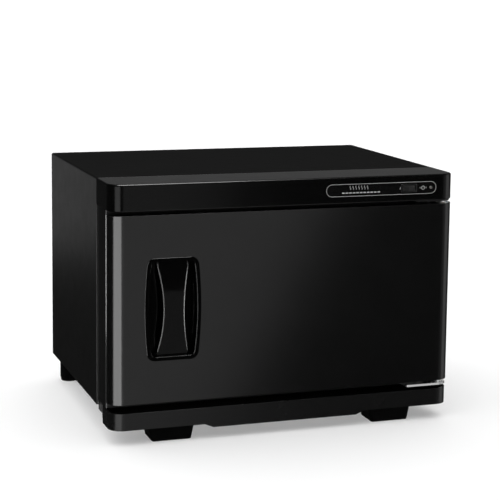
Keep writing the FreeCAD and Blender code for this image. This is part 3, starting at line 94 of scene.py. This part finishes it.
class Finish:
    """A node material built round one Principled shader."""

    def __init__(self, name, roughness, **sockets):
        self.name = name
        self.material = bpy.data.materials.new("finish_" + name)
        self.material.use_nodes = True
        self.tree = self.material.node_tree
        self.shader = self.tree.nodes["Principled BSDF"]
        self.place = self.tree.nodes.new("ShaderNodeTexCoord").outputs["Object"]
        self.normal = None
        self.shader.inputs["Roughness"].default_value = roughness
        for socket, value in sockets.items():
            self.shader.inputs[socket.replace("_", " ")].default_value = value

    def node(self, kind, **settings):
        made = self.tree.nodes.new("ShaderNode" + kind)
        for name, value in settings.items():
            setattr(made, name, value)
        return made

    def link(self, source, target):
        self.tree.links.new(source, target)

    def stretched(self, stretch):
        """Object coordinates, scaled by a different amount along each axis."""
        mapping = self.node("Mapping")
        mapping.inputs["Scale"].default_value = stretch
        self.link(self.place, mapping.inputs["Vector"])
        return mapping.outputs["Vector"]

    def noise(self, size, detail=2.0, stretch=None):
        """A soft cloud pattern whose features are about size metres across."""
        texture = self.node("TexNoise")
        texture.inputs["Scale"].default_value = 1 / size
        texture.inputs["Detail"].default_value = detail
        self.link(self.stretched(stretch) if stretch else self.place, texture.inputs["Vector"])
        return texture.outputs["Fac"]

    def cells(self, size):
        """A cell pattern whose cells are about size metres across."""
        texture = self.node("TexVoronoi", feature="F1")
        texture.inputs["Scale"].default_value = 1 / size
        self.link(self.place, texture.inputs["Vector"])
        return texture.outputs["Distance"]

    def ranged(self, factor, low, high, start=0.3, stop=0.7):
        """The pattern, mapped from start...stop onto low...high."""
        mapped = self.node("MapRange")
        for name, value in (("From Min", start), ("From Max", stop), ("To Min", low), ("To Max", high)):
            mapped.inputs[name].default_value = value
        self.link(factor, mapped.inputs["Value"])
        return mapped.outputs["Result"]

    def colour(self, factor, first, second, start=0.3, stop=0.7):
        """The base colour goes from first to second with the pattern."""
        ramp = self.node("ValToRGB")
        for element, position, value in zip(ramp.color_ramp.elements, (start, stop), (first, second)):
            element.position = position
            element.color = (*value, 1)
        self.link(factor, ramp.inputs["Fac"])
        self.link(ramp.outputs["Color"], self.shader.inputs["Base Color"])
        return self

    def roughness(self, factor, low, high):
        self.link(self.ranged(factor, low, high), self.shader.inputs["Roughness"])
        return self

    def soft_edges(self, radius):
        """Shades sharp edges as if they were rounded off; called before any bump."""
        rounding = self.node("Bevel")
        rounding.inputs["Radius"].default_value = radius
        self.normal = rounding.outputs["Normal"]
        return self

    def bump(self, factor, height):
        """The pattern raises the surface by up to height metres."""
        bump = self.node("Bump")
        bump.inputs["Distance"].default_value = height
        bump.inputs["Strength"].default_value = 1.0
        self.link(factor, bump.inputs["Height"])
        if self.normal:
            self.link(self.normal, bump.inputs["Normal"])
        self.normal = bump.outputs["Normal"]
        self.link(self.normal, self.shader.inputs["Normal"])
        return self


def grey(level):
    return (level, level, level)


def scaled(colour, factor):
    """The colour made darker or lighter, and no part of it over 1."""
    return [min(1, part * factor) for part in colour]


def paint(name, level, roughness, texture_size, texture_height, edge=0.3 * MM):
    """Baked-on paint: faint mottling, and the shallow orange-peel texture that powder coating leaves."""
    finish = Finish(name, roughness)
    mottle = finish.noise(35 * MM, detail=3)
    finish.colour(mottle, grey(level * 0.85), grey(level * 1.15))
    gloss = finish.noise(12 * MM, detail=4)
    finish.roughness(gloss, roughness * 0.93, roughness * 1.07)
    return finish.soft_edges(edge).bump(finish.noise(texture_size), texture_height)


def moulded(name, colour, roughness, grain=0.35 * MM, grain_height=1.2e-6, edge=0.3 * MM, **sockets):
    """Injection-moulded plastic: a slow drift in colour and gloss, and a fine grain."""
    finish = Finish(name, roughness, **sockets)
    drift = finish.noise(20 * MM, detail=3)
    finish.colour(drift, scaled(colour, 0.96), scaled(colour, 1.04))
    finish.roughness(drift, roughness * 0.94, roughness * 1.06)
    return finish.soft_edges(edge).bump(finish.noise(grain, detail=1), grain_height)


def brushed(name, colour, roughness, along, line=0.25 * MM):
    """Bare metal drawn or brushed along one axis (0, 1 or 2), with lines of about that width."""
    finish = Finish(name, roughness, Metallic=1.0)
    line_depth = 1.0e-6
    stretch = [1.0, 1.0, 1.0]
    stretch[along] = 0.02
    streaks = finish.noise(line, detail=3, stretch=stretch)
    finish.colour(streaks, scaled(colour, 0.86), scaled(colour, 1.06))
    return finish.roughness(streaks, roughness * 0.75, roughness * 1.3).bump(streaks, line_depth)


def rubber(name, colour, roughness, shine=0.4):
    """Matt rubber: a fine, slightly uneven skin with patches of dust."""
    finish = Finish(name, roughness, Specular_IOR_Level=shine, Sheen_Weight=0.02, Sheen_Roughness=0.5)
    skin = finish.noise(0.6 * MM, detail=4)
    skin_depth = 1.2e-5
    dust = finish.noise(8 * MM, detail=4)
    finish.colour(dust, scaled(colour, 0.8), scaled(colour, 1.25))
    return finish.roughness(skin, roughness * 0.9, roughness * 1.1).bump(skin, skin_depth)


def black_screws():
    """Blackened steel, with lighter patches where it is worn."""
    finish = Finish("black_screws", roughness=0.35, Metallic=1.0)
    worn = finish.noise(1.2 * MM, detail=3)
    finish.colour(worn, grey(0.035), grey(0.10), start=0.45, stop=0.75)
    return finish.roughness(worn, 0.28, 0.5).bump(finish.noise(0.3 * MM), 3e-6)


def zinc_steel():
    """Galvanised sheet, with its faint spangle."""
    finish = Finish("zinc_steel", roughness=0.4, Metallic=1.0)
    spangle = finish.cells(7 * MM)
    finish.colour(spangle, (0.44, 0.45, 0.47), (0.62, 0.63, 0.64), start=0.1, stop=0.8)
    return finish.roughness(spangle, 0.32, 0.46).bump(finish.noise(0.5 * MM), 2e-6)


def shelf_chrome():
    """Bright plating, with smears that dull it here and there."""
    finish = Finish("shelf_chrome", roughness=0.08, Metallic=1.0)
    smear = finish.noise(9 * MM, detail=3)
    finish.colour(smear, (0.72, 0.73, 0.74), (0.84, 0.84, 0.84))
    return finish.roughness(smear, 0.05, 0.16).bump(finish.noise(1.5 * MM), 2e-6)


def lamp_lens():
    """A smoky, faceted lens over a lamp that is off."""
    finish = Finish("lamp_lens", roughness=0.12, Transmission_Weight=0.35, IOR=1.5)
    facets = finish.cells(0.5 * MM)
    finish.colour(facets, (0.10, 0.095, 0.09), (0.24, 0.23, 0.215), start=0.0, stop=0.8)
    return finish.bump(facets, 3e-5)


def magnet_black():
    """Pressed ferrite, gritty and dull."""
    finish = Finish("magnet_black", roughness=0.6)
    grit = finish.noise(0.4 * MM, detail=4)
    return finish.colour(grit, grey(0.02), grey(0.06)).bump(grit, 1e-5)


def glass_wool():
    """Yellow insulation, with its fibres lying flat."""
    finish = Finish("glass_wool", roughness=0.9, Sheen_Weight=0.3)
    strands = finish.noise(1.6 * MM, detail=8, stretch=(1, 1, 3))
    return finish.colour(strands, (0.55, 0.44, 0.16), (0.90, 0.80, 0.46)).bump(strands, 6e-4)


def foam():
    """Open-celled insulation, with painted shade inside its pores."""
    finish = Finish("foam", roughness=0.85)
    pores = finish.cells(0.7 * MM)
    # The colour is darkest at the middle of each cell, where the bump sinks a pit: painted shade in the
    # pores.
    finish.colour(pores, (0.60, 0.54, 0.38), (0.86, 0.82, 0.68), start=0.0, stop=0.6)
    return finish.bump(pores, 2e-4)


def mark_ink():
    """Pale screen-printed ink, a little uneven where the mesh of the screen shows."""
    finish = Finish("mark_ink", roughness=0.5)
    screen = finish.noise(0.12 * MM, detail=2)
    return finish.colour(screen, grey(0.42), grey(0.62)).bump(screen, 2e-6)


def make_finishes():
    """The finish for each of the record's material slots, which share their names."""
    return (
        paint("casing_paint", level=0.003, roughness=0.30, texture_size=0.9 * MM, texture_height=3e-6,
              edge=0.8 * MM),
        paint("door_paint", level=0.0035, roughness=0.19, texture_size=1.3 * MM, texture_height=1.0e-6),
        paint("bracket_paint", level=0.010, roughness=0.35, texture_size=0.8 * MM, texture_height=5e-6),
        black_screws(),
        zinc_steel(),
        brushed("bright_steel", (0.74, 0.74, 0.74), roughness=0.24, along=0),
        shelf_chrome(),
        brushed("tank_aluminium", (0.76, 0.76, 0.77), roughness=0.30, along=1, line=0.5 * MM),
        moulded("frame_plastic", grey(0.002), roughness=0.42, grain_height=4e-6),
        moulded("tray_plastic", grey(0.006), roughness=0.26),
        moulded("gloss_black", grey(0.0012), roughness=0.20, grain_height=2e-7),
        moulded("handle_black", grey(0.001), roughness=0.07, grain=2 * MM, grain_height=1e-7, edge=0.6 * MM),
        moulded("grip_black", grey(0.001), roughness=0.10, grain=2 * MM, grain_height=1e-7, edge=1.6 * MM),
        moulded("switch_black", grey(0.012), roughness=0.30),
        moulded("rocker_black", grey(0.02), roughness=0.24),
        moulded("label_film", grey(0.003), roughness=0.22, grain_height=6e-7),
        lamp_lens(),
        moulded("liner_plastic", (0.72, 0.73, 0.73), roughness=0.32, grain_height=2e-6,
                Subsurface_Weight=0.05),
        moulded("nylon", (0.78, 0.77, 0.71), roughness=0.42, grain_height=2e-6, Subsurface_Weight=0.15),
        magnet_black(),
        rubber("foot_rubber", grey(0.002), roughness=0.68, shine=0.12),
        rubber("seal_rubber", grey(0.022), roughness=0.58),
        rubber("silicone_rubber", (0.52, 0.15, 0.07), roughness=0.55),
        rubber("lead_rubber", grey(0.05), roughness=0.5),
        glass_wool(),
        foam(),
        brushed("brass_contacts", (0.74, 0.56, 0.24), roughness=0.3, along=2),
    )


def slot_name(material):
    """The record's slot that an imported material stands for."""
    return material.name.split(".")[0]


def finish_cad_nodes():
    """Gives every CAD node the finish of its slot."""
    materials = {finish.name: finish.material for finish in make_finishes()}
    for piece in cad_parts.values():
        for holder in piece.material_slots:
            holder.material = materials[slot_name(holder.material)]


# ----------------------------------------------------------------------------------------------------
# Printed marks: thin raised ink on the control label.


def object_from(shape, name, material):
    """A new object in the scene, made from a bmesh."""
    mesh = bpy.data.meshes.new(name)
    shape.to_mesh(mesh)
    shape.free()
    mesh.materials.append(material)
    made = bpy.data.objects.new(name, mesh)
    bpy.context.scene.collection.objects.link(made)
    return made


def ribbon(shape, path, width, face_y, closed=False):
    """A printed line along path, a list of (x, z) points, raised from the plane y = face_y."""
    points = [Vector((x, 0, z)) for x, z in path]
    count = len(points)
    rows = []
    for i, point in enumerate(points):
        before = points[(i - 1) % count] if closed or i > 0 else point
        after = points[(i + 1) % count] if closed or i < count - 1 else point
        along = (after - before).normalized()
        side = Vector((-along.z, 0, along.x)) * (width / 2)
        corners = []
        for offset, depth in ((side, 0), (side, -INK_HEIGHT), (-side, -INK_HEIGHT), (-side, 0)):
            corner = point + offset
            corners.append(shape.verts.new((corner.x, face_y + depth, corner.z)))
        rows.append(corners)
    last = count if closed else count - 1
    for i in range(last):
        here, there = rows[i], rows[(i + 1) % count]
        for k in range(4):
            n = (k + 1) % 4
            shape.faces.new((here[k], here[n], there[n], there[k]))
    if not closed:
        shape.faces.new(rows[0])
        shape.faces.new(rows[-1])


def print_sign(name, ink, face_y, strokes, closed=False):
    """One printed piece, which rides on the cabinet. A stroke is a path and the width of its line."""
    shape = bmesh.new()
    for path, width in strokes:
        ribbon(shape, path, width, face_y, closed)
    bmesh.ops.recalc_face_normals(shape, faces=shape.faces)
    piece = object_from(shape, name, ink)
    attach(piece, CABINET)


def arc(centre, radius, start, stop, steps):
    """Points (x, z) along an arc about centre, from one angle to another."""
    x, z = centre
    angles = [start + (stop - start) * step / steps for step in range(steps + 1)]
    return [(x + radius * math.cos(angle), z + radius * math.sin(angle)) for angle in angles]


def outline_strokes(low, high):
    """A pill-shaped line just inside the label's edge."""
    margin = 0.35 * MM
    width = 0.36 * MM
    radius = (high.z - low.z) / 2 - margin
    middle_z = (low.z + high.z) / 2
    quarter = math.pi / 2
    steps = 16
    right_end = arc((high.x - margin - radius, middle_z), radius, -quarter, quarter, steps)
    left_end = arc((low.x + margin + radius, middle_z), radius, quarter, 3 * quarter, steps)
    return [(right_end + left_end, width)]


def steam_strokes(centre_x, bottom_z):
    """Rising steam: seven short waves side by side."""
    columns = range(-3, 4)
    pitch = 3.0 * MM
    swing = 0.5 * MM
    rise = 0.3 * MM
    steps_in_wave = 12
    width = 0.42 * MM
    waves = []
    for column in columns:
        wave = []
        for step in range(steps_in_wave + 1):
            sideways = swing * math.sin(2 * math.pi * step / steps_in_wave)
            wave.append((centre_x + column * pitch + sideways, bottom_z + step * rise))
        waves.append((wave, width))
    return waves


def bar_strokes(start_x, level_z):
    """A row of short bars."""
    count = 11
    length = 2.6 * MM
    pitch = 3.7 * MM
    width = 1.1 * MM
    starts = [start_x + bar * pitch for bar in range(count)]
    return [([(start, level_z), (start + length, level_z)], width) for start in starts]


def power_strokes(x, z):
    """A ring that is open at the top, with a stem in the opening and a short mark on each side."""
    radius = 1.7 * MM
    half_opening = math.radians(35)
    steps = 20
    line = 0.45 * MM
    stem_bottom = 0.3 * MM
    stem_top = 2.2 * MM
    mark_place = 3.2 * MM
    mark_half = 0.6 * MM
    mark_line = 0.5 * MM
    top = math.pi / 2
    ring = arc((x, z), radius, top + half_opening, top + 2 * math.pi - half_opening, steps)
    stem = [(x, z + stem_bottom), (x, z + stem_top)]
    strokes = [(ring, line), (stem, line)]
    for mark_x in (x - mark_place, x + mark_place):
        strokes.append(([(mark_x, z - mark_half), (mark_x, z + mark_half)], mark_line))
    return strokes


def switch_glint_strokes(x, z):
    """One short, leaning pale stroke: a painted highlight for the glint on the left end of the switch's
    surround.
    """
    bottom = (x - 0.3 * MM, z - 1.1 * MM)
    top = (x + 0.4 * MM, z + 1.3 * MM)
    width = 0.5 * MM
    return [([bottom, top], width)]


def print_label(ink):
    """The label's thin outline, and plain signs: steam, a row of bars and a power sign; and a painted
    highlight by the switch.
    """
    low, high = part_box("control_label")
    switch_low, switch_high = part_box("switch_housing")
    lamp_low, lamp_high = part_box("indicator_lamp")
    face_y = low.y
    middle_z = (low.z + high.z) / 2
    lamp_x = (lamp_low.x + lamp_high.x) / 2
    steam_x = low.x + 34 * MM
    steam_bottom = middle_z + 0.5 * MM
    bars_x = low.x + 16.5 * MM
    bars_z = middle_z - 2.6 * MM
    power_x = (switch_high.x + lamp_x) / 2 - 0.8 * MM
    # The pale ink stroke just left of the switch is a painted highlight, standing for the glint on the
    # switch's surround.
    glint_x = switch_low.x - 1.3 * MM
    print_sign("label_outline", ink, face_y, outline_strokes(low, high), closed=True)
    print_sign("label_steam_sign", ink, face_y, steam_strokes(steam_x, steam_bottom))
    print_sign("label_bars", ink, face_y, bar_strokes(bars_x, bars_z))
    print_sign("label_power_sign", ink, face_y, power_strokes(power_x, middle_z))
    print_sign("label_switch_glint", ink, face_y, switch_glint_strokes(glint_x, middle_z))


# ----------------------------------------------------------------------------------------------------
# The studio: a pale floor, a white surround that only the camera sees, soft lights and the camera.


def plain_material(name, colour, emission=0.0):
    """A nearly even matt colour, which may glow."""
    finish = Finish(name, roughness=0.9)
    cloud = finish.noise(0.4)
    finish.colour(cloud, scaled(colour, 0.995), colour)
    if emission:
        finish.shader.inputs["Emission Color"].default_value = (*colour, 1)
        finish.shader.inputs["Emission Strength"].default_value = emission
    return finish.material


def hide_from(item, *rays):
    """Keeps an object out of what the named kinds of ray can see."""
    for ray in rays:
        setattr(item, "visible_" + ray, False)


def make_floor():
    shape = bmesh.new()
    bmesh.ops.create_circle(shape, cap_ends=True, segments=96, radius=FLOOR_RADIUS)
    floor = object_from(shape, "floor", plain_material("floor", grey(0.9)))
    hide_from(floor, "glossy", "shadow")


def make_surround():
    shape = bmesh.new()
    bmesh.ops.create_icosphere(shape, subdivisions=4, radius=SURROUND_RADIUS)
    bmesh.ops.reverse_faces(shape, faces=shape.faces)
    surround = object_from(shape, "surround", plain_material("surround", grey(1.0), emission=1.0))
    hide_from(surround, "diffuse", "glossy", "transmission", "volume_scatter", "shadow")


def make_world():
    """A dim, even room."""
    world = bpy.data.worlds.new("studio")
    world.use_nodes = True
    background = world.node_tree.nodes["Background"]
    background.inputs["Color"].default_value = (1, 1, 1, 1)
    background.inputs["Strength"].default_value = ROOM_LIGHT
    bpy.context.scene.world = world


def direction(azimuth, elevation):
    """Unit vector from the part: azimuth 0 is the front, 90 the hinge side, in degrees."""
    a, e = math.radians(azimuth), math.radians(elevation)
    return Vector((math.sin(a) * math.cos(e), -math.cos(a) * math.cos(e), math.sin(e)))


def group_of(name, objects):
    """A collection, for a light to shine on or to leave out."""
    group = bpy.data.collections.new(name)
    for item in objects:
        group.objects.link(item)
    return group


def cad_group(name, nodes):
    return group_of(name, [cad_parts[node] for node in nodes])


def new_light(name, kind):
    """A light, and the object that holds it, which the camera doesn't see."""
    light = bpy.data.lights.new(name, kind)
    holder = bpy.data.objects.new(name, light)
    bpy.context.scene.collection.objects.link(holder)
    hide_from(holder, "camera")
    return light, holder


def sky_light(name):
    """Even light from a wide patch of sky overhead, which no surface mirrors."""
    light, holder = new_light(name, "SUN")
    light.energy = SKY_STRENGTH
    light.angle = math.radians(SKY_SPREAD)
    holder.rotation_euler = [math.radians(angle) for angle in SKY_TILT]
    hide_from(holder, "glossy")


def floor_fill(name):
    """Light for the floor alone, which casts no shadow, so the shadow from the sky's light stays pale."""
    light, holder = new_light(name, "SUN")
    light.energy = FLOOR_FILL * math.pi
    light.use_shadow = False
    hide_from(holder, "glossy")
    holder.light_linking.receiver_collection = group_of(name, [bpy.data.objects["floor"]])


def gloss_light(name, azimuth, elevation, distance, width, height, radiance, roll=0,
                lights=(), leaves_out=()):
    """A glowing rectangle that faces the part and shows in its gloss, but adds nothing to its colour.
    Its angles are in degrees, and radiance is what its surface gives off. It shines on the
    nodes in lights alone, where any are named, and never on those in leaves_out."""
    light, holder = new_light(name, "AREA")
    light.shape = "RECTANGLE"
    light.size = width
    light.size_y = height
    light.energy = radiance * math.pi * width * height
    towards = direction(azimuth, elevation)
    turn = towards.to_track_quat("Z", "Y").to_matrix() @ Matrix.Rotation(math.radians(roll), 3, "Z")
    holder.matrix_world = Matrix.Translation(CENTRE + towards * distance) @ turn.to_4x4()
    hide_from(holder, "diffuse")
    if lights:
        holder.light_linking.receiver_collection = cad_group(name, lights)
    if leaves_out:
        group = cad_group(name, leaves_out)
        holder.light_linking.receiver_collection = group
        for link in group.collection_objects:
            link.light_linking.link_state = "EXCLUDE"


def light_studio():
    """The sky, the floor's own light, and a gloss light for each kind of sheen that the cabinet shows.
    left_side stays below the horizon, so that the casing's top doesn't mirror it when seen from behind."""
    sky_light("sky")
    floor_fill("floor_fill")
    gloss_light("overhead_gloss", azimuth=0, elevation=80, distance=2.0,
                width=1.2, height=1.2, radiance=11.0)
    gloss_light("left_side", azimuth=-40, elevation=-13, distance=1.5,
                width=1.6, height=0.8, radiance=5.0,
                leaves_out=HEAD + HANDLE + TRAY + BRIGHT_METAL + FEET)
    gloss_light("left_side_head", azimuth=-38, elevation=-13, distance=1.5,
                width=1.0, height=0.8, radiance=0.9, lights=HEAD)
    gloss_light("left_side_tray", azimuth=-40, elevation=-15, distance=1.5,
                width=1.2, height=0.8, radiance=1.5, lights=TRAY)
    gloss_light("left_side_cup", azimuth=-52, elevation=0, distance=1.5,
                width=1.0, height=1.8, radiance=6.0, lights=CUP)
    gloss_light("left_side_grip", azimuth=-58, elevation=0, distance=1.5,
                width=1.9, height=1.8, radiance=9.0, lights=GRIP)
    gloss_light("right_side_grip", azimuth=64, elevation=0, distance=1.5,
                width=1.4, height=1.8, radiance=9.0, lights=GRIP)
    gloss_light("front_panel", azimuth=0.5, elevation=-2, distance=0.9,
                width=0.6, height=1.0, radiance=0.53, roll=-27, leaves_out=HEAD + HANDLE + TRAY + FEET)
    gloss_light("front_panel_tray", azimuth=-2, elevation=-2, distance=0.9,
                width=0.66, height=1.0, radiance=0.38, roll=-27, lights=TRAY)
    gloss_light("behind_head", azimuth=161, elevation=10, distance=2.0,
                width=1.6, height=0.8, radiance=0.10, lights=HEAD)
    gloss_light("front_panel_head", azimuth=2.9, elevation=-1, distance=1.0,
                width=0.32, height=1.0, radiance=0.22, lights=HEAD)
    gloss_light("front_panel_grip", azimuth=8, elevation=-24, distance=0.9,
                width=0.9, height=0.85, radiance=0.14, lights=GRIP)
    gloss_light("front_bright", azimuth=20, elevation=-8, distance=1.2,
                width=0.9, height=0.8, radiance=0.7, lights=BRIGHT_METAL)
    gloss_light("low_front_head", azimuth=14, elevation=-45, distance=1.2,
                width=1.0, height=0.6, radiance=1.0, lights=HEAD)
    gloss_light("behind_casing", azimuth=-167, elevation=0, distance=2.0,
                width=1.0, height=0.63, radiance=0.16, lights=CASING)
    gloss_light("behind_door", azimuth=-168, elevation=-8, distance=2.0,
                width=0.7, height=0.45, radiance=3.2, lights=DOOR)
    gloss_light("front_right", azimuth=56, elevation=-3, distance=1.5,
                width=0.9, height=1.2, radiance=0.2, leaves_out=HANDLE)
    gloss_light("right_side", azimuth=75, elevation=5, distance=1.6,
                width=1.0, height=1.6, radiance=0.55, leaves_out=HANDLE)
    gloss_light("back_wall", azimuth=170, elevation=-4, distance=1.6,
                width=1.8, height=1.5, radiance=0.8,
                leaves_out=CASING + DOOR + HEAD + FEET + TRAY + FRONT_FRAME)


def make_camera():
    """The camera stands in front of the cabinet, to its left and above it."""
    yaw, pitch, roll = (math.radians(angle) for angle in CAMERA_ANGLES)
    right = Vector((math.cos(yaw), math.sin(yaw), 0))
    ahead = Vector((-math.sin(yaw) * math.cos(pitch), math.cos(yaw) * math.cos(pitch), math.sin(pitch)))
    up = right.cross(ahead)
    across = right * math.cos(roll) + up * math.sin(roll)
    above = up * math.cos(roll) - right * math.sin(roll)
    turn = Matrix((across, above, -ahead)).transposed()
    camera = bpy.data.cameras.new("camera")
    camera.lens = CAMERA_LENS
    camera.sensor_width = CAMERA_SENSOR
    camera.shift_y = CAMERA_SHIFT
    holder = bpy.data.objects.new("camera", camera)
    bpy.context.scene.collection.objects.link(holder)
    holder.matrix_world = Matrix.Translation(CAMERA_PLACE) @ turn.to_4x4()
    bpy.context.scene.camera = holder


finish_cad_nodes()
print_label(mark_ink().material)
make_floor()
make_surround()
make_world()
light_studio()
make_camera()
bpy.context.scene.view_settings.view_transform = "Standard"
